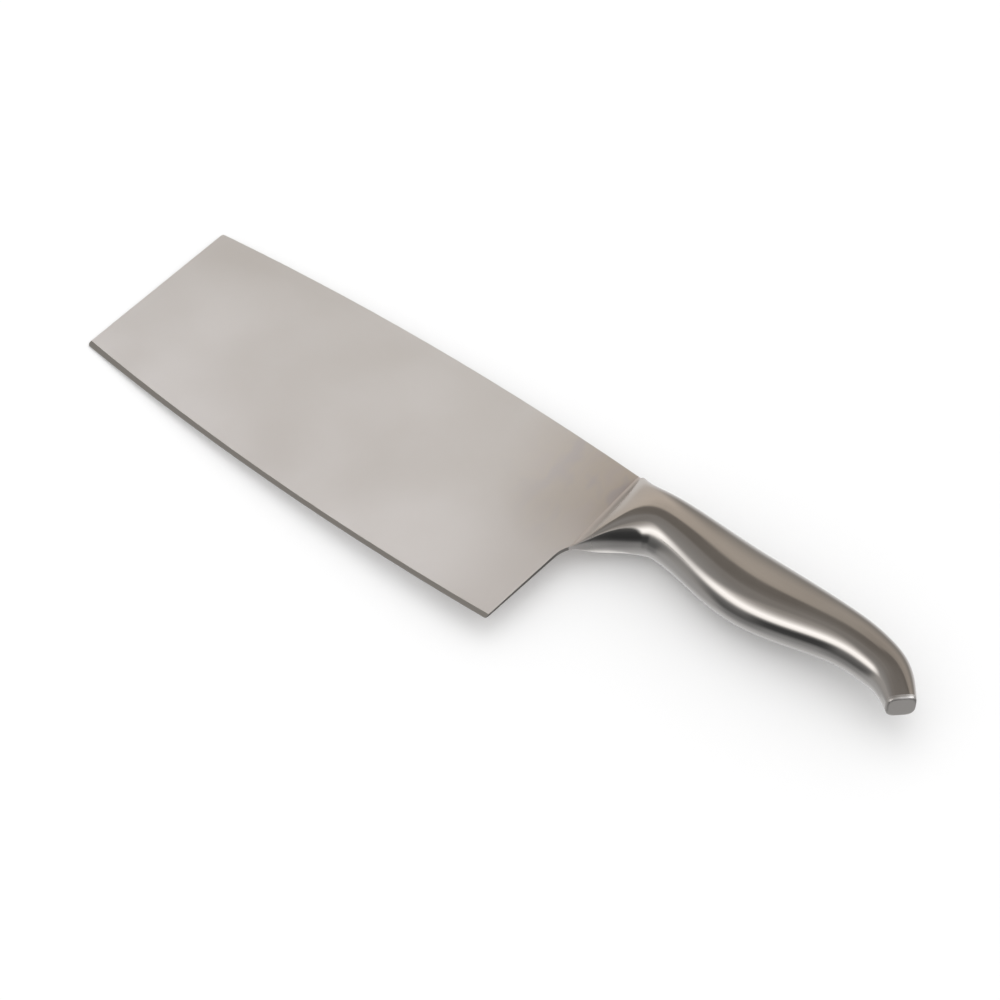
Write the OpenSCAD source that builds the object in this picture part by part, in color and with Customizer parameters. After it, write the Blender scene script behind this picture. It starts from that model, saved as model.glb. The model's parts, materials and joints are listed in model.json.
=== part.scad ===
// Chinese cleaver, all steel: a broad thin blade butt welded to a solid bolster,
// and a hollow S-curved handle of two pressed shells that ends in a short hook.
// The knife is drawn upright in its own plane, then laid down the way it rests.

/* [Blade] */
// Length of the blade from its front edge to the bolster
blade_l = 203; // [180:1:230]
// Depth of the blade at its front edge
front_h = 73.7; // [62:0.1:88]
// Depth of the blade at its heel
heel_h = 80.5; // [68:0.1:95]
// Rise of the curved spine above its two ends
spine_crown = 4.1; // [2:0.1:8]
// Bulge of the curved cutting edge below its two ends
edge_belly = 3.9; // [2:0.1:8]
// How far the heel corner stands in front of the bolster joint
heel_set = 3.7; // [2:0.1:8]
// How far the heel line leans back from its corner to the choil
heel_lean = 2.3; // [0:0.1:4]
// Radius of the hollow between heel and handle
choil_r = 12; // [10:0.5:16]
// Thickness of the blade at the spine
blade_t = 2.5; // [2:0.1:3.5]
// Thickness of the blade where the edge bevel starts
bevel_t = 1.0; // [0.6:0.1:1.4]
// Height of the edge bevel
bevel_h = 1.6; // [1:0.1:3]
// Thickness left at the cutting edge
edge_t = 0.2; // [0.1:0.05:0.4]
// Chamfer that eases the spine
spine_break = 0.4; // [0.2:0.1:0.8]
// Radius of the front corner at the spine
spine_corner_r = 1.6; // [0.8:0.1:4]
// Radius of the front corner at the cutting edge
edge_corner_r = 1.2; // [0.6:0.1:3]
// Radius of the heel corner
heel_corner_r = 0.8; // [0.5:0.1:2]

/* [Bolster] */
// Height of the bolster where it meets the blade
joint_h = 40; // [36:0.5:44]
// Squareness of the bolster section at the blade
joint_sq = 14; // [8:1:20]
// Distance of the shoulder behind the blade
shoulder_x = 8; // [6.5:0.5:11]
// Depth of the shoulder's centre below the spine line
shoulder_y = 15.9; // [14.5:0.1:17.5]
// Height of the shoulder
shoulder_h = 28.3; // [26:0.1:31]
// Thickness of the shoulder
shoulder_t = 17.6; // [15:0.1:20]
// Squareness of the shoulder section
shoulder_sq = 3.1; // [2.4:0.1:5]
// Length of the bolster along the handle's middle line
bolster_l = 22; // [18:0.5:26]
// Length of the spigot that enters the shells
spigot_l = 7; // [4:0.5:10]
// Clearance between a spigot and the shells round it
spigot_gap = 0.15; // [0.05:0.05:0.4]

/* [Grip] */
// Distance of the neck behind the blade
neck_x = 21; // [17:0.5:26]
// Depth of the neck's centre below the spine line
neck_y = 12.4; // [11:0.1:15]
// Height of the neck
neck_h = 20.5; // [18:0.1:24]
// Thickness of the neck
neck_t = 22.6; // [18:0.1:24]
// Distance of the palm swell behind the blade
palm_x = 60; // [52:0.5:67]
// Depth of the palm swell's centre below the spine line
palm_y = 16.2; // [14:0.1:19]
// Height of the palm swell
palm_h = 25.5; // [22:0.1:29]
// Thickness of the palm swell
palm_t = 20.6; // [18:0.1:24]
// Distance of the waist behind the blade
waist_x = 97; // [88:0.5:102]
// Depth of the waist's centre below the spine line
waist_y = 13.5; // [12:0.1:16]
// Height of the waist
waist_h = 17.2; // [15:0.1:21]
// Thickness of the waist
waist_t = 17.8; // [15:0.1:20]
// Squareness of the grip sections
grip_sq = 2.7; // [2:0.1:3.2]
// Length over which one bend of the handle melts into the next
melt_l = 4; // [1:0.5:6]
// Wall thickness of the shells
shell_t = 1.2; // [0.8:0.1:1.6]

/* [Hook] */
// Distance of the hook's bend behind the blade
hook_x = 113; // [108:0.5:117]
// Depth of the hook's bend below the spine line
hook_y = 16; // [15:0.1:18]
// Height of the handle at the bend
hook_h = 14.5; // [12:0.1:17]
// Thickness of the handle at the bend
hook_t = 16; // [12:0.1:18]
// Distance of the butt face behind the blade
butt_x = 125.3; // [121:0.1:130]
// Depth of the butt face's centre below the spine line
butt_y = 25.6; // [23:0.1:29]
// Width of the butt face across the handle's plane
butt_h = 9.6; // [8:0.1:12]
// Thickness of the butt face
butt_t = 9.9; // [8:0.1:12]
// Squareness of the butt face
butt_sq = 3.6; // [2.4:0.1:5]
// Thickness of the butt cap's rim
cap_t = 2; // [1.2:0.1:3]
// Chamfer round the butt face
cap_break = 0.4; // [0.2:0.1:0.8]
// Depth of the cap's plug inside the shells
plug_l = 4; // [2:0.5:8]

/* [Welds] */
// Depth and half width of each weld between blade and bolster
blade_weld = 0.8; // [0.5:0.1:1]
// Half width of the ground welds on the handle
seam_weld = 0.7; // [0.4:0.1:1]
// Depth of the handle welds as a share of the shell's wall
weld_depth = 0.6; // [0.4:0.05:0.8]

/* [Hidden] */
$fn = 720;
margin = 10;

// Blade outline: the two long edges are arcs, each worked out from its chord and its rise
function arc_radius(chord, rise) = (chord * chord / 4 + rise * rise) / (2 * rise);
heel_x = blade_l - heel_set;
edge_chord = norm([heel_x, heel_h - front_h]);
spine_r = arc_radius(blade_l, spine_crown);
edge_r = arc_radius(edge_chord, edge_belly);
spine_c = [blade_l / 2, spine_crown - spine_r];
edge_c = [heel_x / 2, -(front_h + heel_h) / 2]
    + [heel_h - front_h, heel_x] / edge_chord * (edge_r - edge_belly);

// Heel line and the hollow that leads from it to the bolster's lower corner
heel = [heel_x, -heel_h];
joint = [blade_l, -joint_h];
heel_up = [heel_lean, heel_h - joint_h] / norm([heel_lean, heel_h - joint_h]);
heel_out = [heel_up.y, -heel_up.x];
joint_out = (joint - heel) * heel_out;
choil_s = (joint - heel) * heel_up - sqrt(2 * choil_r * joint_out - joint_out * joint_out);
choil_foot = heel + heel_up * choil_s;
choil_c = choil_foot + heel_out * choil_r;

// Centres of the three small corner rounds
spine_round = [spine_corner_r,
    spine_c.y + sqrt(pow(spine_r - spine_corner_r, 2) - pow(spine_c.x - spine_corner_r, 2))];
edge_round = [edge_corner_r,
    edge_c.y - sqrt(pow(edge_r - edge_corner_r, 2) - pow(edge_c.x - edge_corner_r, 2))];
heel_w = heel - heel_out * heel_corner_r - edge_c;
heel_s = -heel_w * heel_up
    - sqrt(pow(heel_w * heel_up, 2) - heel_w * heel_w + pow(edge_r - heel_corner_r, 2));
heel_round = heel - heel_out * heel_corner_r + heel_up * heel_s;

// Both faces lean in evenly from the spine to the edge bevel
face_lean = (blade_t - bevel_t) / 2 / (spine_crown + heel_h);
bevel_lean = (bevel_t - edge_t) / 2 / bevel_h;
function half_blade(y) = blade_t / 2 - (spine_crown - y) * face_lean;

// Stations of the handle: distance behind the blade, centre, height, thickness, squareness
stations = [
    [0, -joint_h / 2, joint_h, 2 * half_blade(0), joint_sq],
    [shoulder_x, -shoulder_y, shoulder_h, shoulder_t, shoulder_sq],
    [neck_x, -neck_y, neck_h, neck_t, grip_sq],
    [palm_x, -palm_y, palm_h, palm_t, grip_sq],
    [waist_x, -waist_y, waist_h, waist_t, grip_sq],
    [hook_x, -hook_y, hook_h, hook_t, grip_sq],
    [butt_x, -butt_y, butt_h, butt_t, butt_sq]];
last = len(stations) - 1;
function run(i) = i == 0 ? 0
    : run(i - 1) + norm([stations[i].x - stations[i - 1].x, stations[i].y - stations[i - 1].y]);
knots = [for (i = [0 : last]) run(i)];
handle_l = knots[last];

// Each column of the stations is joined by one smooth curve that never overshoots
function slope(i, j) = (stations[i + 1][j] - stations[i][j]) / (knots[i + 1] - knots[i]);
function mean_slope(a, b) = a * b <= 0 ? 0 : 2 * a * b / (a + b);
function bend(i, j) = i == 0 ? (j == 3 ? 0 : slope(0, j))
    : i == last ? 1.5 * slope(last - 1, j) - 0.5 * bend(last - 1, j)
    : mean_slope(slope(i - 1, j), slope(i, j));
bends = [for (i = [0 : last]) [for (j = [0 : 4]) bend(i, j)]];
function span(s) = max([for (i = [0 : last - 1]) if (i == 0 || knots[i] < s) i]);
function curve(s, j) =
    let (i = span(s), h = knots[i + 1] - knots[i], u = (s - knots[i]) / h)
    (2 * u * u * u - 3 * u * u + 1) * stations[i][j] + (u * u * u - 2 * u * u + u) * h * bends[i][j]
    + (3 * u * u - 2 * u * u * u) * stations[i + 1][j] + (u * u * u - u * u) * h * bends[i + 1][j];
function curve_turn(s, j) =
    let (i = span(s), h = knots[i + 1] - knots[i], u = (s - knots[i]) / h)
    (6 * u * u - 6 * u) * (stations[i][j] - stations[i + 1][j]) / h
    + (3 * u * u - 4 * u + 1) * bends[i][j] + (3 * u * u - 2 * u) * bends[i + 1][j];

// The handle follows these curves as a mean over a short length, so that its bends melt together
melt_shares = [1, 2, 3, 2, 1] / 9;
function melt_spots(s) = let (w = min(melt_l, s, handle_l - s) / 2) [for (k = [-2 : 2]) s + k * w];
function at(s, j) = melt_shares * [for (t = melt_spots(s)) curve(t, j)];
function turn(s, j) = melt_shares * [for (t = melt_spots(s)) curve_turn(t, j)];
function ease(u) = let (v = min(max(u, 0), 1)) v * v * (3 - 2 * v);
function lean(s) = atan2(turn(s, 1), turn(s, 0)) * ease(s / neck_x);

// One point of the handle: s along it, a round it from the spine, sunk below the outer face
function reach(a, sq) = pow(pow(abs(cos(a)), sq) + pow(abs(sin(a)), sq), -1 / sq);
function skin(s, a, sunk) =
    let (r = reach(a, at(s, 4)), v = (at(s, 2) / 2 - sunk) * r * cos(a), y = at(s, 1) + v * cos(lean(s)),
        thin = (1 - ease(s / shoulder_x)) * (half_blade(0) - half_blade(y)),
        z = (at(s, 3) / 2 - thin - sunk) * r * sin(a))
    [blade_l + at(s, 0) - v * sin(lean(s)), y, z];

// Angles round a section, with the seam welds' edges either side of spine and belly
seam_a = atan(2 * seam_weld / palm_t);
side = [for (k = [1 : 19]) 9 * k];
half_ring = concat([seam_a], side, [180 - seam_a]);
full_ring = concat([0], half_ring, [180], [for (a = half_ring) 180 + a]);
inner_ring = [for (k = [0 : 20]) 180 - 9 * k];

// Places of the joints along the handle, and of the rings between them
weld_sink = shell_t * weld_depth;
shell_end = handle_l - cap_t;
bolster_steps = 16;
grip_steps = 36;
bolster_s = [for (k = [0 : bolster_steps]) (bolster_l - seam_weld) * k / bolster_steps];
grip_s = [for (k = [0 : grip_steps])
    bolster_l + seam_weld + (shell_end - bolster_l - 2 * seam_weld) * k / grip_steps];

// The knife lies on the front edge of its right face and on the thickest part of its handle
lay_roll = atan(face_lean);
function rolled(p) = [p.x, p.y * cos(lay_roll) - p.z * sin(lay_roll),
    p.y * sin(lay_roll) + p.z * cos(lay_roll)];
front_z = rolled([0, 0, -half_blade(0)]).z;
right_side = [for (s = concat(bolster_s, grip_s)) for (a = side) rolled(skin(s, 180 + a, 0))];
lay_pitch = max([for (p = right_side) atan2(front_z - p.z, p.x)]);
function laid(p) = let (r = rolled(p)) [r.x * cos(lay_pitch) - r.z * sin(lay_pitch), r.y,
    r.x * sin(lay_pitch) + r.z * cos(lay_pitch)];
butt_points = [for (s = [handle_l - cap_break, shell_end]) for (a = full_ring) laid(skin(s, a, 0))];
x_min = laid([0, 0, half_blade(0)]).x;
x_max = max([for (p = butt_points) p.x]);
y_min = laid([edge_c.x, edge_c.y - edge_r, 0]).y;
y_max = laid([blade_l / 2, spine_crown, 0]).y;
rest = [-(x_min + x_max) / 2, -(y_min + y_max) / 2, -front_z * cos(lay_pitch)];

module lay() {
    translate(rest) rotate([lay_roll, -lay_pitch, 0]) children();
}

// Closed solid through a row of sections that all have the same number of points
module loft(rows) {
    n = len(rows[0]);
    m = len(rows);
    points = [for (row = rows) each row];
    sides = [for (j = [0 : m - 2]) for (i = [0 : n - 1])
        let (k = (i + 1) % n)
        each [[j * n + i, (j + 1) * n + k, j * n + k], [j * n + i, (j + 1) * n + i, (j + 1) * n + k]]];
    first = [for (i = [0 : n - 1]) i];
    final = [for (i = [0 : n - 1]) m * n - 1 - i];
    polyhedron(points, concat(sides, [first, final]));
}

// Closed ring through sections that run round the handle and meet again
module loft_ring(rows) {
    n = len(rows[0]);
    m = len(rows);
    points = [for (row = rows) each row];
    polyhedron(points, [for (j = [0 : m - 1]) for (i = [0 : n - 1])
        let (k = (i + 1) % n, q = (j + 1) % m)
        each [[j * n + i, q * n + k, j * n + k], [j * n + i, q * n + i, q * n + k]]]);
}

// What a small round takes off a corner: the patch between two directions, less the disc
module corner(centre, r, from, to) {
    difference() {
        polygon([centre, centre + 2 * r * from, centre + 4 * r * (from + to), centre + 2 * r * to]);
        translate(centre) circle(r, $fn = 48);
    }
}

function unit(v) = v / norm(v);

module blade_outline() {
    left = [-1, 0];
    difference() {
        intersection() {
            translate(spine_c) circle(spine_r);
            translate(edge_c) circle(edge_r);
            polygon([[0, spine_crown + margin], [blade_l, spine_crown + margin], joint, choil_foot,
                heel - heel_up * margin, [0, -front_h - margin]]);
        }
        translate(choil_c) circle(choil_r, $fn = 96);
        corner(spine_round, spine_corner_r, left, unit(spine_round - spine_c));
        corner(edge_round, edge_corner_r, left, unit(edge_round - edge_c));
        corner(heel_round, heel_corner_r, heel_out, unit(heel_round - edge_c));
    }
}

// Slab whose two faces lean in from the spine to the edge
module ground_faces() {
    top = spine_crown + margin;
    low = -heel_h - margin;
    rotate([90, 0, 90]) linear_extrude(blade_l + margin)
        polygon([[top, half_blade(top)], [low, half_blade(low)],
            [low, -half_blade(low)], [top, -half_blade(top)]]);
}

// Disc whose rim tapers to a flat of the given width, by the given lean for each millimetre
module tapered_disc(r, rim_t, rim_lean) {
    rotate_extrude() polygon([[0, rim_t / 2 + r * rim_lean], [r, rim_t / 2],
        [r, -rim_t / 2], [0, -rim_t / 2 - r * rim_lean]]);
}

// V between blade and bolster on one side; lift raises its mouth above the blade's face
module blade_v(flip, lift) {
    w = blade_weld;
    mirror([0, 0, flip]) translate([blade_l, -w, half_blade(-w)]) rotate([90 + lay_roll, 0, 0])
        linear_extrude(joint_h - 2 * w)
            polygon([[-w - lift, lift], [0, -w], [w + lift, lift]]);
}

module blade() {
    color("silver") lay() difference() {
        intersection() {
            linear_extrude(2 * blade_t, center = true) blade_outline();
            ground_faces();
            translate(edge_c) tapered_disc(edge_r, edge_t, bevel_lean);
            translate(spine_c) tapered_disc(spine_r, blade_t - 2 * spine_break, 1);
        }
        blade_v(0, 1);
        blade_v(1, 1);
    }
}

module blade_weld_left() {
    color("darkgray") lay() blade_v(0, 0);
}

module blade_weld_right() {
    color("darkgray") lay() blade_v(1, 0);
}

function ring(s, sunk) = [for (a = full_ring) skin(s, a, sunk)];

// Rings of a plug that fits inside the shells from one place to another
function plug(from, to) = let (steps = 4)
    [for (k = [0 : steps]) ring(from + (to - from) * k / steps, shell_t + spigot_gap)];

module bolster() {
    color("gray") lay() difference() {
        loft(concat([for (s = bolster_s) ring(s, 0)], [ring(bolster_l, weld_sink)],
            plug(bolster_l, bolster_l + spigot_l)));
        blade_v(0, 1);
        blade_v(1, 1);
    }
}

// Half of the hollow grip; turned is 0 on the left side and 180 on the right
function shell_row(s, sunk, turned) = concat(
    [for (a = half_ring) skin(s, turned + a, sunk)],
    [skin(s, turned + 180, weld_sink)],
    [for (a = inner_ring) skin(s, turned + a, shell_t)],
    [skin(s, turned, weld_sink)]);

module handle_shell(turned) {
    lay() loft(concat([shell_row(bolster_l, weld_sink, turned)],
        [for (s = grip_s) shell_row(s, 0, turned)],
        [shell_row(shell_end, weld_sink, turned)]));
}

module handle_shell_left() {
    color("lightsteelblue") handle_shell(0);
}

module handle_shell_right() {
    color("slategray") handle_shell(180);
}

// Weld ground flush along the line where the shells meet
module long_weld(around) {
    lay() loft([for (s = grip_s)
        [skin(s, around - seam_a, 0), skin(s, around, 0), skin(s, around + seam_a, 0),
            skin(s, around, weld_sink)]]);
}

module spine_seam_weld() {
    color("darkgray") long_weld(0);
}

module belly_seam_weld() {
    color("darkgray") long_weld(180);
}

// Weld ground flush round the handle
module round_weld(s) {
    lay() loft_ring([for (a = full_ring)
        [skin(s - seam_weld, a, 0), skin(s, a, weld_sink), skin(s + seam_weld, a, 0)]]);
}

module neck_weld() {
    color("darkgray") round_weld(bolster_l);
}

module cap_weld() {
    color("darkgray") round_weld(shell_end);
}

module butt_cap() {
    color("gray") lay() loft(concat(plug(shell_end - plug_l, shell_end),
        [ring(shell_end, weld_sink), ring(shell_end + seam_weld, 0),
            ring(handle_l - cap_break, 0), ring(handle_l, cap_break)]));
}

blade();
blade_weld_left();
blade_weld_right();
bolster();
neck_weld();
handle_shell_left();
handle_shell_right();
spine_seam_weld();
belly_seam_weld();
cap_weld();
butt_cap();
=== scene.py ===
import functools
import json
import math

import bmesh
import bpy
from mathutils import Matrix, Vector


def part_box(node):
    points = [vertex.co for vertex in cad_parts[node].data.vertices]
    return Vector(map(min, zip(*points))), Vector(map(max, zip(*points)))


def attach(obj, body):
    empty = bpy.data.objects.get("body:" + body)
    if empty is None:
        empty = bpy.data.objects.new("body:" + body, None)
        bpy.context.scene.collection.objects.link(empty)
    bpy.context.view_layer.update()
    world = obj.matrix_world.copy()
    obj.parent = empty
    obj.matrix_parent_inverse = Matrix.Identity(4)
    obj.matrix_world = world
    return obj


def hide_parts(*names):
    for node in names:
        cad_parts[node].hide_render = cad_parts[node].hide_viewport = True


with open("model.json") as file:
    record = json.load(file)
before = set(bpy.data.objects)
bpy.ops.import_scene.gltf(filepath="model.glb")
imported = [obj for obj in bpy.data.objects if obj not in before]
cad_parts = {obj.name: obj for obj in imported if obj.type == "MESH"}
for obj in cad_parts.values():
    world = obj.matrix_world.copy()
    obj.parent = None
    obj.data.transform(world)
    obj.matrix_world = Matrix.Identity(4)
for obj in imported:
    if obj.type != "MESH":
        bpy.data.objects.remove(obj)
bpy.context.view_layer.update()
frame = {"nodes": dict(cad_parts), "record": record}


# Camera
# It stands in front and to the right of the knife and looks down on the left face of the blade.
# The lens is long, so the knife is drawn with little foreshortening.
MM = 0.001
CAMERA_AZIMUTH = math.radians(38.75)
CAMERA_ELEVATION = math.radians(51.7)
CAMERA_ROLL = math.radians(0.64)
CAMERA_DISTANCE = 0.7787
CAMERA_AIM = Vector((2.06, 4.64, 3.0)) * MM
LENS_MM = 79.2
SENSOR_MM = 36.0
NEAREST = 0.01

scene = bpy.context.scene
camera = bpy.data.objects.new("camera", bpy.data.cameras.new("camera"))
scene.collection.objects.link(camera)
away = Vector((math.sin(CAMERA_AZIMUTH) * math.cos(CAMERA_ELEVATION),
               -math.cos(CAMERA_AZIMUTH) * math.cos(CAMERA_ELEVATION),
               math.sin(CAMERA_ELEVATION)))
camera.location = CAMERA_AIM + away * CAMERA_DISTANCE
camera.rotation_euler = (Matrix.Rotation(CAMERA_AZIMUTH, 3, "Z")
                         @ Matrix.Rotation(math.pi / 2 - CAMERA_ELEVATION, 3, "X")
                         @ Matrix.Rotation(CAMERA_ROLL, 3, "Z")).to_euler()
camera.data.lens = LENS_MM
camera.data.sensor_width = SENSOR_MM
camera.data.clip_start = NEAREST
scene.camera = camera


# Blade
# One plate of stainless steel, ground to a taper from spine to edge. The fine ground lines run
# from spine to edge, so light spreads along the blade.
# It is welded to the bolster, and the heat of that weld has tinted the steel beside the joint.
BLADE_L = 203.0
BLADE_T = 2.5
BEVEL_T = 1.0
SPINE_CROWN = 4.1
HEEL_H = 80.5
BLADE_GREY = (0.87, 0.86, 0.865)
BLADE_GREY_AT_SPINE = (0.75, 0.74, 0.735)
CLOUDS_PER_M = (18.0, 18.0, 18.0)
CLOUD_RANGE = (0.35, 0.65)
CLOUD_SHARE = 0.15
SMEAR_RANGE = (0.3, 0.7)
GROUND_ROUGHNESS = (0.5, 0.58)
GROUND_SPREAD = 0.7
STROKES_PER_M = (2600.0, 200.0, 2600.0)
STROKE_STRENGTH = 0.12
STROKE_DEPTH = 0.00004
BEVEL_SLANT = 0.2
# Painted shade on the bevel facet along the edge
BEVEL_PAINTED_SHADE = (0.53, 0.52, 0.505)
BEVEL_ROUGHNESS = 0.3
# Painted shade on the rear face of the blade, and the way that face points
REAR_FACE_PAINTED_SHADE = (0.30, 0.29, 0.28)
SHADED_REAR_FACING = (0.5, 0.9)
# Painted shade that darkens the blade towards its rear edge, and how far it reaches
REAR_PAINTED_SHADE = (0.83, 0.815, 0.80)
PAINTED_SHADE_REACH = 50.0
HEAT_REACH = 50.0
HEAT_PER_M = (110.0, 60.0, 110.0)

# Tints of the heated steel, each with its place in the noise: violet, straw and rose
HEAT_TINTS = ((0.36, (0.77, 0.74, 0.76)), (0.5, (0.86, 0.81, 0.74)), (0.64, (0.84, 0.79, 0.76)))


class Finish:
    """A node material with one shader, which starts as metal, and short calls for its nodes."""

    def __init__(self, name, roughness):
        self.material = bpy.data.materials.new(name)
        self.material.use_nodes = True
        self.tree = self.material.node_tree
        self.shader = self.tree.nodes["Principled BSDF"]
        self.shader.inputs["Metallic"].default_value = 1.0
        self.shader.inputs["Roughness"].default_value = roughness

    def add(self, kind, settings=None, **sockets):
        node = self.tree.nodes.new(kind)
        for key, value in (settings or {}).items():
            setattr(node, key, value)
        for key, value in sockets.items():
            self.put(node.inputs[key.replace("_", " ")], value)
        return node

    def put(self, socket, value):
        """Links a socket to another node's output, or gives it a number or a colour."""
        if isinstance(value, bpy.types.NodeSocket):
            self.tree.links.new(value, socket)
        elif socket.type == "RGBA":
            socket.default_value = (*value[:3], 1.0)
        else:
            socket.default_value = value

    def place(self, scale, grain=None):
        """Coordinates in metres, stretched by scale: the object's own, or a named attribute."""
        if grain:
            spot = self.add("ShaderNodeAttribute", {"attribute_name": grain}).outputs["Vector"]
        else:
            spot = self.add("ShaderNodeTexCoord").outputs["Object"]
        return self.add("ShaderNodeMapping", Vector=spot, Scale=scale).outputs["Vector"]

    def noise(self, vector, detail=3.0, rough=0.55):
        return self.add("ShaderNodeTexNoise", Vector=vector, Scale=1.0, Detail=detail,
                        Roughness=rough).outputs["Fac"]

    def spread(self, value, low, high, out_low, out_high, smooth=False):
        """Maps value from low and high to out_low and out_high, and holds it there beyond."""
        kind = "SMOOTHSTEP" if smooth else "LINEAR"
        node = self.add("ShaderNodeMapRange", {"interpolation_type": kind}, Value=value)
        for key, number in (("From Min", low), ("From Max", high), ("To Min", out_low),
                            ("To Max", out_high)):
            self.put(node.inputs[key], number)
        return node.outputs["Result"]

    def maths(self, operation, a, b=0.0):
        node = self.add("ShaderNodeMath", {"operation": operation})
        self.put(node.inputs[0], a)
        self.put(node.inputs[1], b)
        return node.outputs["Value"]

    def mix(self, factor, a, b, blend="MIX"):
        node = self.add("ShaderNodeMix", {"data_type": "RGBA", "blend_type": blend})
        self.put(node.inputs[0], factor)
        self.put(node.inputs[6], a)
        self.put(node.inputs[7], b)
        return node.outputs[2]

    def ramp(self, value, stops):
        node = self.add("ShaderNodeValToRGB", Fac=value)
        points = node.color_ramp.elements
        while len(points) < len(stops):
            points.new(1.0)
        for point, (position, colour) in zip(points, stops):
            point.position = position
            point.color = (*colour, 1.0)
        return node.outputs["Color"]

    def bump(self, height, strength, distance):
        return self.add("ShaderNodeBump", Height=height, Strength=strength,
                        Distance=distance).outputs["Normal"]

    def feed(self, socket, source):
        self.put(self.shader.inputs[socket], source)


joint_low, joint_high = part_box("blade_weld_left")
joint_top = Vector((joint_low.x, joint_high.y, joint_high.z))


def ground_steel(name, bevelled):
    """Satin steel that the heat of the weld has tinted, most at the upper end of the joint.
    It is darker towards the spine, and painted shade darkens it towards the rear edge."""
    satin = Finish(name, GROUND_ROUGHNESS[0])
    satin.shader.inputs["Anisotropic"].default_value = GROUND_SPREAD
    clouds = satin.noise(satin.place(CLOUDS_PER_M), detail=4.0)
    here = satin.place((1.0, 1.0, 1.0))
    spot = satin.add("ShaderNodeSeparateXYZ", Vector=here).outputs
    # The colour is lighter from the spine towards the edge.
    towards_edge = satin.spread(spot["Y"], joint_top.y, joint_top.y - HEEL_H * MM, 0.0, 1.0)
    cloudy = satin.spread(clouds, *CLOUD_RANGE, -CLOUD_SHARE, CLOUD_SHARE)
    colour = satin.mix(satin.maths("ADD", towards_edge, cloudy), BLADE_GREY_AT_SPINE, BLADE_GREY)
    from_joint = satin.add("ShaderNodeMapping", Vector=here, Location=-joint_top)
    distance = satin.add("ShaderNodeVectorMath", {"operation": "LENGTH"},
                         Vector=from_joint.outputs["Vector"]).outputs["Value"]
    heat = satin.spread(distance, HEAT_REACH * MM, 0.0, 0.0, 1.0)
    patches = satin.noise(satin.place(HEAT_PER_M), detail=2.0)
    tint = satin.ramp(patches, HEAT_TINTS)
    colour = satin.mix(heat, colour, satin.mix(1.0, colour, tint, "MULTIPLY"))
    # Painted shade: the colour darkens towards the rear edge of the blade.
    rear_shade = satin.spread(spot["X"], joint_top.x - PAINTED_SHADE_REACH * MM, joint_top.x, 0.0, 1.0, smooth=True)
    colour = satin.mix(rear_shade, colour, satin.mix(1.0, colour, REAR_PAINTED_SHADE, "MULTIPLY"))
    roughness = satin.spread(clouds, *SMEAR_RANGE, *GROUND_ROUGHNESS)
    if bevelled:
        facing = satin.add("ShaderNodeNewGeometry").outputs["True Normal"]
        facing = satin.add("ShaderNodeSeparateXYZ", Vector=facing).outputs
        bevel = satin.spread(facing["Y"], -BEVEL_SLANT, -BEVEL_SLANT / 2, 1.0, 0.0)
        # Painted shade: the bevel facet along the edge is coloured darker than the blade.
        colour = satin.mix(bevel, colour, BEVEL_PAINTED_SHADE)
        # Painted shade: the rear face of the blade, which points along it, is coloured dark.
        colour = satin.mix(satin.spread(facing["X"], *SHADED_REAR_FACING, 0.0, 1.0), colour, REAR_FACE_PAINTED_SHADE)
        roughness = satin.spread(bevel, 0.0, 1.0, roughness, BEVEL_ROUGHNESS)
    satin.feed("Base Color", colour)
    satin.feed("Roughness", roughness)
    strokes = satin.noise(satin.place(STROKES_PER_M), detail=2.0)
    satin.feed("Normal", satin.bump(strokes, STROKE_STRENGTH, STROKE_DEPTH))
    along_blade = satin.add("ShaderNodeVectorTransform", {
        "vector_type": "VECTOR", "convert_from": "OBJECT", "convert_to": "WORLD"},
        Vector=(1.0, 0.0, 0.0))
    satin.feed("Tangent", along_blade.outputs["Vector"])
    return satin.material


blade = frame["nodes"]["blade"]
blade.data.materials.clear()
blade.data.materials.append(ground_steel("satin_blade_steel", bevelled=True))


# Welds between blade and bolster
# Two straight beads, one on each side, that fill the V between the two pieces.
# They are ground flush and brushed together with the blade.
weld_steel = ground_steel("satin_weld_steel", bevelled=False)
for side in ("left", "right"):
    bead = frame["nodes"][f"blade_weld_{side}"]
    bead.data.materials.clear()
    bead.data.materials.append(weld_steel)


# Bolster
# One solid piece of stainless steel, cast and then polished. It swells from the thin blade to
# the full section of the handle, and its spigot sits inside the two shells.
JOINT_H = 40.0
BOLSTER_L = 22.0
SPIGOT_L = 7.0
SPIGOT_GAP = 0.15
SHELL_T = 1.2
BEAD = 0.7
BEAD_SINK = SHELL_T * 0.6
BLADE_BEAD = 0.8
RING_POINTS = 144
RING_STEP = 0.8
MERGE_M = 1e-8
GRAIN_RADIUS = 10.0
NORMAL_STEP = 0.02
NORMAL_REACH = 6.0
POLISH = 0.01
POLISHED_GREY = (0.53, 0.52, 0.51)
POLISHED_GREY_SOFT = (0.50, 0.485, 0.475)
POLISHED_ROUGHNESS = 0.06
POLISH_CLOUDS_PER_M = (35.0, 60.0, 60.0)
POLISH_CLOUD_ROUGHNESS = 0.05
POLISH_LINES_PER_M = (60.0, 1500.0, 1500.0)
POLISH_LINE_ROUGHNESS = 0.04
POLISH_LINE_STRENGTH = 0.05
POLISH_LINE_DEPTH = 0.00003
BRUSHED_GREY = (0.67, 0.64, 0.635)
BRUSHED_REACH = 4.0
BRUSHED_ROUGHNESS = 0.4
SATIN_REACH = 9.0
SHOULDER_X = 8.0
NECK_X = 21.0
PALM_T = 20.6
MELT_L = 4.0
MELT_SHARES = (1, 2, 3, 2, 1)
face_lean = (BLADE_T - BEVEL_T) / 2 / (SPINE_CROWN + HEEL_H)
spine_line_t = BLADE_T - 2 * SPINE_CROWN * face_lean

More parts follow.
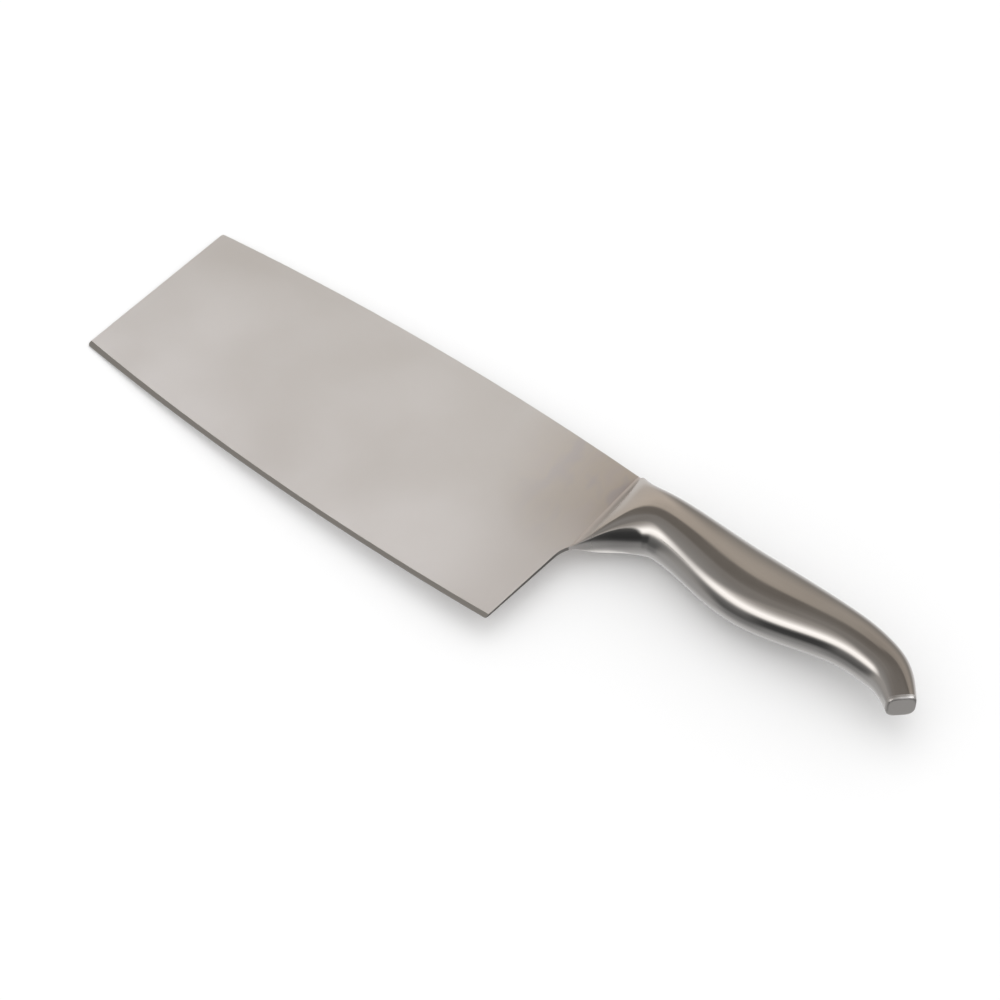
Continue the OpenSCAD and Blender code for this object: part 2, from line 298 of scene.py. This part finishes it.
# Stations of the handle in millimetres: behind the blade, middle above the spine line, height,
# thickness, and how square the section is
stations = ((0.0, -JOINT_H / 2, JOINT_H, spine_line_t, 14.0),
            (SHOULDER_X, -15.9, 28.3, 17.6, 3.1),
            (NECK_X, -12.4, 20.5, 22.6, 2.7),
            (60.0, -16.2, 25.5, PALM_T, 2.7),
            (97.0, -13.5, 17.2, 17.8, 2.7),
            (113.0, -16.0, 14.5, 16.0, 2.7),
            (125.3, -25.6, 9.6, 9.9, 3.6))
DEEP, TALL, THICK, SQUARE = 1, 2, 3, 4
knots = [0.0]
for one, two in zip(stations, stations[1:]):
    knots.append(knots[-1] + math.dist(one[:2], two[:2]))
handle_l = knots[-1]


def station_slope(i, j):
    return (stations[i + 1][j] - stations[i][j]) / (knots[i + 1] - knots[i])


def station_bend(i, j):
    """Slope of the smooth curve through column j at station i."""
    last = len(stations) - 1
    if i == 0:
        return 0.0 if j == THICK else station_slope(0, j)
    if i == last:
        return 1.5 * station_slope(last - 1, j) - 0.5 * station_bend(last - 1, j)
    a, b = station_slope(i - 1, j), station_slope(i, j)
    return 0.0 if a * b <= 0 else 2 * a * b / (a + b)


bends = [[station_bend(i, j) for j in range(5)] for i in range(len(stations))]


def curve(s, j):
    """Value and slope of the curve through column j at the length s along the handle."""
    i = max(k for k in range(len(knots) - 1) if k == 0 or knots[k] < s)
    h = knots[i + 1] - knots[i]
    u = (s - knots[i]) / h
    a, b, p, q = stations[i][j], stations[i + 1][j], bends[i][j] * h, bends[i + 1][j] * h
    value = (a * (2 * u**3 - 3 * u**2 + 1) + p * (u**3 - 2 * u**2 + u)
             + b * (3 * u**2 - 2 * u**3) + q * (u**3 - u**2))
    slope = ((6 * u**2 - 6 * u) * (a - b) + (3 * u**2 - 4 * u + 1) * p + (3 * u**2 - 2 * u) * q) / h
    return value, slope


@functools.cache
def along(s, j):
    """Value and slope of column j as a mean over a short length, so that the bends melt together."""
    step = min(MELT_L, s, handle_l - s) / 2
    pairs = [curve(s + k * step, j) for k in (-2, -1, 0, 1, 2)]
    return [sum(share * pair[n] for share, pair in zip(MELT_SHARES, pairs)) / sum(MELT_SHARES)
            for n in (0, 1)]


def ease(u):
    u = min(max(u, 0.0), 1.0)
    return u * u * (3 - 2 * u)


def skin(s, angle, sunk=0.0):
    """Point of the handle in the knife's own plane: angle turns from the spine through the left."""
    (x, run), (y, fall) = along(s, 0), along(s, DEEP)
    square = along(s, SQUARE)[0]
    lean = math.atan2(fall, run) * ease(s / NECK_X)
    up, out = math.cos(angle), math.sin(angle)
    reach = (abs(up) ** square + abs(out) ** square) ** (-1 / square)
    v = (along(s, TALL)[0] / 2 - sunk) * reach * up
    y += v * math.cos(lean)
    thin = (1 - ease(s / SHOULDER_X)) * -y * face_lean
    z = (along(s, THICK)[0] / 2 - thin - sunk) * reach * out
    return Vector((BLADE_L + x - v * math.sin(lean), y, z))


# The knife lies tilted on its right side. The two mounts on the blade tell how: the right face
# gives the pitch, and the left face leans across the blade by twice the roll.
mounts = {mount["name"]: mount for mount in frame["record"]["mounts"]}
MOUNT_SPOT = Vector((100.0, -38.0, 0.0)) * MM
pitch = math.atan2(mounts["right_face"]["axis"][0], -mounts["right_face"]["axis"][2])
roll = -math.asin(mounts["left_face"]["axis"][1]) / 2
turned = Matrix.Rotation(-pitch, 3, "Y") @ Matrix.Rotation(roll, 3, "X")
mid_plane = (Vector(mounts["left_face"]["pos_m"]) + Vector(mounts["right_face"]["pos_m"])) / 2
rest = mid_plane - turned @ MOUNT_SPOT


def skin_normal(s, angle):
    """Outward direction of the polished surface, as a mean over a short length, so that it runs
    on smoothly through the bends and from piece to piece."""
    reach = min(NORMAL_REACH, s, handle_l - s)
    step = NORMAL_STEP / GRAIN_RADIUS
    outward = Vector()
    for share, part in zip(MELT_SHARES, (-1.0, -0.5, 0.0, 0.5, 1.0)):
        spot = s + part * reach
        low, high = max(spot - NORMAL_STEP, 0.0), min(spot + NORMAL_STEP, handle_l)
        lengthways = skin(high, angle) - skin(low, angle)
        around = skin(spot, angle + step) - skin(spot, angle - step)
        outward += share * around.cross(lengthways).normalized()
    return (turned @ outward).normalized()


def loft(name, rows, columns, place, closed_ring=False):
    """Solid made from a grid that is wrapped round the handle. place(row, column) gives length,
    angle and depth of each point. The ends are capped, or joined where rows make a ring."""
    bm = bmesh.new()
    spot = bm.verts.layers.float_vector.new("spot")
    row_steps = rows if closed_ring else rows - 1
    bmesh.ops.create_grid(bm, x_segments=columns, y_segments=row_steps, size=0.5)
    for v in bm.verts:
        column = round((v.co.x + 0.5) * columns) % columns
        row = round((v.co.y + 0.5) * row_steps) % rows
        v[spot] = place(row, column)
        v.co = rest + turned @ (skin(*v[spot]) * MM)
    bmesh.ops.remove_doubles(bm, verts=bm.verts, dist=MERGE_M)
    if not closed_ring:
        bmesh.ops.holes_fill(bm, edges=[e for e in bm.edges if e.is_boundary], sides=0)
    bmesh.ops.recalc_face_normals(bm, faces=bm.faces)
    shown = {v: skin_normal(v[spot].x, v[spot].y) for v in bm.verts if v[spot].z < 2 * POLISH}
    normals = []
    for face in bm.faces:
        face.smooth = len(face.verts) == 4 and all(v in shown for v in face.verts)
        normals += [shown[v] if face.smooth else face.normal.copy() for v in face.verts]
    grain = [(v[spot].x, GRAIN_RADIUS * math.cos(v[spot].y), GRAIN_RADIUS * math.sin(v[spot].y))
             for v in bm.verts]
    bm.verts.layers.float_vector.remove(spot)
    mesh = bpy.data.meshes.new(name)
    bm.to_mesh(mesh)
    bm.free()
    mesh.normals_split_custom_set(normals)
    mesh.attributes.new("grain", "FLOAT_VECTOR", "POINT").data.foreach_set(
        "vector", [number * MM for point in grain for number in point])
    piece = bpy.data.objects.new(name, mesh)
    scene.collection.objects.link(piece)
    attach(piece, "root")
    return piece


def polished(name, roughness, lines_per_m=POLISH_LINES_PER_M, brushed_start=False):
    """Polished stainless steel: a soft mirror with faint polishing lines along the handle.
    With brushed_start it begins at the blade as light brushed steel."""
    steel = Finish(name, roughness)
    cloud = steel.noise(steel.place(POLISH_CLOUDS_PER_M, grain="grain"), detail=3.0)
    colour = steel.mix(steel.spread(cloud, *CLOUD_RANGE, 0.0, 1.0), POLISHED_GREY_SOFT, POLISHED_GREY)
    lines = steel.noise(steel.place(lines_per_m, grain="grain"), detail=2.0)
    smear = steel.maths("ADD", steel.spread(cloud, *SMEAR_RANGE, 0.0, POLISH_CLOUD_ROUGHNESS),
                        steel.spread(lines, *SMEAR_RANGE, roughness, roughness + POLISH_LINE_ROUGHNESS))
    if brushed_start:
        grain = steel.place((1.0, 1.0, 1.0), grain="grain")
        behind = steel.add("ShaderNodeSeparateXYZ", Vector=grain).outputs["X"]
        smear = steel.maths("ADD", smear, steel.spread(
            behind, 0.0, SATIN_REACH * MM, BRUSHED_ROUGHNESS - roughness, 0.0, smooth=True))
        polish = steel.spread(behind, 0.0, BRUSHED_REACH * MM, 0.0, 1.0, smooth=True)
        colour = steel.mix(polish, BRUSHED_GREY, colour)
    steel.feed("Base Color", colour)
    steel.feed("Roughness", smear)
    steel.feed("Normal", steel.bump(lines, POLISH_LINE_STRENGTH, POLISH_LINE_DEPTH))
    return steel.material


def rings(start, end):
    """Lengths from start to end, evenly spaced by about the ring step."""
    count = math.ceil((end - start) / RING_STEP)
    return [start + (end - start) * k / count for k in range(count + 1)]


full_turn = [2 * math.pi * k / RING_POINTS for k in range(RING_POINTS)]
bolster_rows = [(s, POLISH) for s in [0.0] + rings(BLADE_BEAD, BOLSTER_L - BEAD)]
bolster_rows += [(BOLSTER_L, BEAD_SINK)]
bolster_rows += [(s, SHELL_T + SPIGOT_GAP) for s in rings(BOLSTER_L, BOLSTER_L + SPIGOT_L)]


def bolster_place(row, column):
    s, sunk = bolster_rows[row]
    return s, full_turn[column], sunk


bolster = loft("polished_bolster", len(bolster_rows), RING_POINTS, bolster_place)
bolster_steel = polished("polished_bolster_steel", POLISHED_ROUGHNESS, brushed_start=True)
bolster.data.materials.append(bolster_steel)
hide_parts("bolster")


# Handle shells
# Two half shells pressed from sheet steel 1.2 mm thick. They meet along the spine and the belly,
# where a groove in their rims takes the long welds, and are polished together with the bolster.
CAP_T = 2.0
HALF_POINTS = 70
INNER_POINTS = 20
shell_end = handle_l - CAP_T
seam = math.atan(2 * BEAD / PALM_T)
grip = rings(BOLSTER_L + BEAD, shell_end - BEAD)
shell_rows = [(BOLSTER_L, BEAD_SINK)] + [(s, POLISH) for s in grip] + [(shell_end, BEAD_SINK)]
outer_arc = [seam + (math.pi - 2 * seam) * k / HALF_POINTS for k in range(HALF_POINTS + 1)]
inner_arc = [math.pi * (1 - k / INNER_POINTS) for k in range(INNER_POINTS + 1)]
shell_profile = ([(a, None) for a in outer_arc] + [(math.pi, BEAD_SINK)]
                 + [(a, SHELL_T) for a in inner_arc] + [(0.0, BEAD_SINK)])
handle_steel = polished("polished_handle_steel", POLISHED_ROUGHNESS)

for side, turn in (("left", 0.0), ("right", math.pi)):

    def shell_place(row, column):
        s, end_sunk = shell_rows[row]
        angle, sunk = shell_profile[column]
        return s, turn + angle, end_sunk if sunk is None else sunk

    shell = loft(f"pressed_shell_{side}", len(shell_rows), len(shell_profile), shell_place)
    shell.data.materials.append(handle_steel)
    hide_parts(f"handle_shell_{side}")


# Long seam welds
# Weld metal that fills the grooves between the shells along spine and belly.
# It is ground flush and polished with the handle, so that its line barely shows.
SEAM_ROUGHNESS = 0.07
seam_steel = polished("polished_seam_steel", SEAM_ROUGHNESS)
bead_profile = [(share, POLISH) for share in (-1.0, -0.5, 0.0, 0.5, 1.0)] + [(0.0, BEAD_SINK)]

for side, turn in (("spine", 0.0), ("belly", math.pi)):

    def seam_place(row, column):
        share, sunk = bead_profile[column]
        return grip[row], turn + share * seam, sunk

    bead = loft(f"ground_{side}_seam", len(grip), len(bead_profile), seam_place)
    bead.data.materials.append(seam_steel)
    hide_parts(f"{side}_seam_weld")


# Round welds at the neck and at the butt cap
# Two beads of the same ground and polished weld metal, in the grooves that run round the handle.
# They join the shells to the bolster in front and to the butt cap behind.
for name, centre in (("neck", BOLSTER_L), ("cap", shell_end)):

    def round_place(row, column):
        share, sunk = bead_profile[column]
        return centre + share * BEAD, full_turn[row], sunk

    bead = loft(f"ground_{name}_weld", RING_POINTS, len(bead_profile), round_place, closed_ring=True)
    bead.data.materials.append(seam_steel)
    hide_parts(f"{name}_weld")


# Butt cap
# A thick end plate with a plug inside the shells. Its face is ground flat, with a small
# rounded edge, and is less bright than the polished handle.
PLUG_L = 4.0
CAP_ROUND = 0.68
ROUND_STEPS = 5
CAP_ROUGHNESS = 0.4
CAP_LINES_PER_M = (400.0, 1500.0, 1500.0)
cap_rows = [(s, SHELL_T + SPIGOT_GAP) for s in rings(shell_end - PLUG_L, shell_end)]
cap_rows += [(shell_end, BEAD_SINK)]
cap_rows += [(s, POLISH) for s in rings(shell_end + BEAD, handle_l - CAP_ROUND)]
cap_rows += [(handle_l - CAP_ROUND * (1 - math.sin(math.pi / 2 * k / ROUND_STEPS)),
              POLISH + CAP_ROUND * (1 - math.cos(math.pi / 2 * k / ROUND_STEPS)))
             for k in range(1, ROUND_STEPS + 1)]


def cap_place(row, column):
    s, sunk = cap_rows[row]
    return s, full_turn[column], sunk


cap = loft("ground_butt_cap", len(cap_rows), RING_POINTS, cap_place)
cap.data.materials.append(polished("ground_cap_steel", CAP_ROUGHNESS, CAP_LINES_PER_M))
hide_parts("butt_cap")


# Floor and backdrop
# A plain white sheet that runs out of the picture on every side. The steel doesn't mirror it:
# what lies below the horizon there is painted with the walls of the room.
FLOOR_SIZE = 24.0
FLOOR_WHITE = (0.96, 0.96, 0.96)
FLOOR_ROUGHNESS = 0.9
bm = bmesh.new()
bmesh.ops.create_grid(bm, x_segments=1, y_segments=1, size=FLOOR_SIZE / 2)
floor_mesh = bpy.data.meshes.new("floor")
bm.to_mesh(floor_mesh)
bm.free()
floor = bpy.data.objects.new("floor", floor_mesh)
scene.collection.objects.link(floor)
sheet = Finish("white_sheet", FLOOR_ROUGHNESS)
sheet.shader.inputs["Metallic"].default_value = 0.0
sheet.shader.inputs["Specular IOR Level"].default_value = 0.0
sheet.feed("Base Color", FLOOR_WHITE)
floor.data.materials.append(sheet.material)
floor.visible_glossy = False


# Light
# One wide soft lamp overhead gives the floor its soft shadow. The room that the steel mirrors is
# painted on the world by direction: walls all round, a dark ceiling that ends in a straight
# edge, one bright soft box in front, and a broad bright panel on the near side.
LAMP_WATTS = 1.6
LAMP_SIZE = 1.2
LAMP_PLACE = Vector((-0.25, 0.35, 1.2))
lamp = bpy.data.objects.new("overhead_lamp", bpy.data.lights.new("overhead_lamp", "AREA"))
lamp.data.shape = "DISK"
lamp.data.size = LAMP_SIZE
lamp.data.energy = LAMP_WATTS
lamp.location = LAMP_PLACE
lamp.rotation_euler = (-LAMP_PLACE).to_track_quat("-Z", "Y").to_euler()
lamp.visible_glossy = False
scene.collection.objects.link(lamp)


class Room(Finish):
    """The world's nodes. Azimuths are counted from the way the blade points, through the front."""

    def __init__(self, world):
        world.use_nodes = True
        self.tree = world.node_tree
        self.tree.nodes.clear()
        self.direction = self.add("ShaderNodeTexCoord").outputs["Generated"]
        parts = self.add("ShaderNodeSeparateXYZ", Vector=self.direction).outputs
        turn = self.maths("ARCTAN2", self.maths("MULTIPLY", parts["Y"], -1.0),
                          self.maths("MULTIPLY", parts["X"], -1.0))
        self.azimuth = self.maths("MULTIPLY", turn, math.degrees(1.0))
        self.elevation = self.maths("MULTIPLY", self.maths("ARCSINE", parts["Z"]), math.degrees(1.0))

    def wall(self, stops):
        """Colours by elevation alone. The stops are elevation, brightness and warmth, from
        straight down to straight up."""
        height = self.spread(self.elevation, -90.0, 90.0, 0.0, 1.0)
        return self.ramp(height, [
            ((lift + 90) / 180, (light * (1 + warmth), light, light * (1 - warmth)))
            for lift, light, warmth in stops])

    def beside(self, first, start, soft, second, taper=0.0):
        """The first up to the azimuth start and the second from there on, with a soft edge,
        which moves on by taper for each degree above the horizon."""
        drawn_in = self.maths("MULTIPLY", self.maths("MAXIMUM", self.elevation, 0.0), taper)
        azimuth = self.maths("SUBTRACT", self.azimuth, drawn_in)
        return self.mix(self.spread(azimuth, start - soft, start + soft, 0.0, 1.0, smooth=True),
                        first, second)

    def under(self, above, facing, soft, below):
        """Mirrors below up to a straight edge, and above past it. The edge lies square to facing."""
        reach = self.add("ShaderNodeVectorMath", {"operation": "DOT_PRODUCT"})
        self.put(reach.inputs[0], self.direction)
        self.put(reach.inputs[1], facing)
        return self.mix(self.spread(reach.outputs["Value"], -soft, soft, 0.0, 1.0, smooth=True),
                        above, below)


# Stops of each wall: elevation, brightness and warmth
END_WALL = ((-90, 0.75, 0.01), (-40, 0.85, 0.01), (-20, 0.85, 0.02), (-8, 0.68, 0.03), (0, 0.5, 0.05),
            (9, 0.36, 0.08), (20, 0.36, 0.1), (32, 0.42, 0.12), (45, 0.47, 0.13), (60, 0.4, 0.13),
            (90, 0.4, 0.13))
BACK_WALL = ((-90, 0.75, 0.01), (-50, 0.8, 0.01), (-30, 0.85, 0.03), (-10, 0.85, 0.05), (5, 0.7, 0.1),
             (35, 0.72, 0.14), (48, 0.62, 0.14), (90, 0.6, 0.14))
CEILING = ((-90, 0.2, 0.12), (50, 0.21, 0.12), (66, 0.2, 0.12), (78, 0.26, 0.1), (90, 0.3, 0.08))
LEFT_WALL = ((-90, 0.8, 0.01), (-65, 0.7, 0.01), (-55, 0.5, 0.02), (-45, 0.45, 0.04),
             (-25, 0.5, 0.05), (5, 0.52, 0.05), (30, 0.4, 0.05), (55, 0.34, 0.06), (66, 0.3, 0.08),
             (90, 0.3, 0.1))
SOFT_BOX = ((-7, 1.35, 0.04), (0, 1.75, 0.04), (14, 1.9, 0.03), (20, 1.6, 0.04), (30, 1.12, 0.05),
            (42, 0.70, 0.06), (55, 0.46, 0.08), (75, 0.34, 0.09), (90, 0.3, 0.1))
UNDER_BOX_LEFT = ((-90, 0.75, 0.01), (-65, 0.66, 0.01), (-56, 0.36, 0.01), (-50, 0.16, 0.01),
                  (-42, 0.16, 0.02), (-26, 0.25, 0.02), (-18, 0.45, 0.03), (-12, 0.85, 0.04))
UNDER_BOX_RIGHT = ((-90, 0.75, 0.01), (-65, 0.6, 0.01), (-56, 0.45, 0.01), (-51, 0.25, 0.01),
                   (-45, 0.08, 0.0), (-28, 0.07, 0.0), (-18, 0.2, 0.02), (-12, 0.65, 0.04))
DARK_WALL = ((-90, 0.75, 0.01), (-65, 0.6, 0.01), (-54, 0.45, 0.01), (-46, 0.2, 0.01),
             (-42, 0.08, 0.0), (-32, 0.05, 0.0), (0, 0.06, 0.0), (15, 0.09, 0.02), (30, 0.1, 0.04),
             (42, 0.17, 0.06), (58, 0.34, 0.08), (75, 0.34, 0.09), (90, 0.3, 0.1))
NEAR_WALL = ((-90, 1.3, 0.02), (-66, 1.3, 0.02), (-58, 0.9, 0.02), (-50, 0.45, 0.02),
             (-42, 0.15, 0.02), (-20, 0.12, 0.02), (12, 0.5, 0.04), (30, 3.0, -0.01),
             (55, 3.0, -0.01), (75, 0.3, 0.05), (90, 0.3, 0.1))

# Where each wall begins: azimuth and softness of its edge, in degrees, and how far the edge
# moves on with height
END_EDGE = (-126, 5)
BACK_EDGE = (-62, 8)
LEFT_EDGE = (-5, 10)
LEFT_EDGE_OVERHEAD = (-5, 20)
BOX_LEFT_EDGE = (50, 10)
BOX_LEFT_TAPER = 0.25
BOX_RIGHT_EDGE = (84, 8)
DARK_EDGE = (109, 4)
NEAR_EDGE = (138, 8)
NEAR_TAPER = 0.4

# The way that the ceiling's straight edge faces
CEILING_EDGE = (0.099, 0.873, -0.478)
CEILING_EDGE_SOFT = 0.03

scene.world = scene.world or bpy.data.worlds.new("world")
room = Room(scene.world)
near_wall = room.wall(NEAR_WALL)
left_wall = room.wall(LEFT_WALL)
ceiling = room.beside(room.wall(CEILING), *LEFT_EDGE_OVERHEAD, left_wall)
walls = room.beside(room.wall(END_WALL), *BACK_EDGE, room.wall(BACK_WALL))
walls = room.under(ceiling, CEILING_EDGE, CEILING_EDGE_SOFT, walls)
walls = room.beside(near_wall, *END_EDGE, walls)
walls = room.beside(walls, *LEFT_EDGE, left_wall)
walls = room.beside(walls, *BOX_LEFT_EDGE, room.wall(UNDER_BOX_LEFT + SOFT_BOX), taper=BOX_LEFT_TAPER)
walls = room.beside(walls, *BOX_RIGHT_EDGE, room.wall(UNDER_BOX_RIGHT + SOFT_BOX))
walls = room.beside(walls, *DARK_EDGE, room.wall(DARK_WALL))
walls = room.beside(walls, *NEAR_EDGE, near_wall, taper=NEAR_TAPER)
plain = room.add("ShaderNodeBackground", Color=(1.0, 1.0, 1.0, 1.0), Strength=1.0)
mirrored = room.add("ShaderNodeBackground", Color=walls, Strength=1.0)
glossy = room.add("ShaderNodeLightPath").outputs["Is Glossy Ray"]
chosen = room.add("ShaderNodeMixShader", Fac=glossy)
room.tree.links.new(plain.outputs["Background"], chosen.inputs[1])
room.tree.links.new(mirrored.outputs["Background"], chosen.inputs[2])
room.add("ShaderNodeOutputWorld", Surface=chosen.outputs["Shader"])

scene.view_settings.view_transform = "Standard"
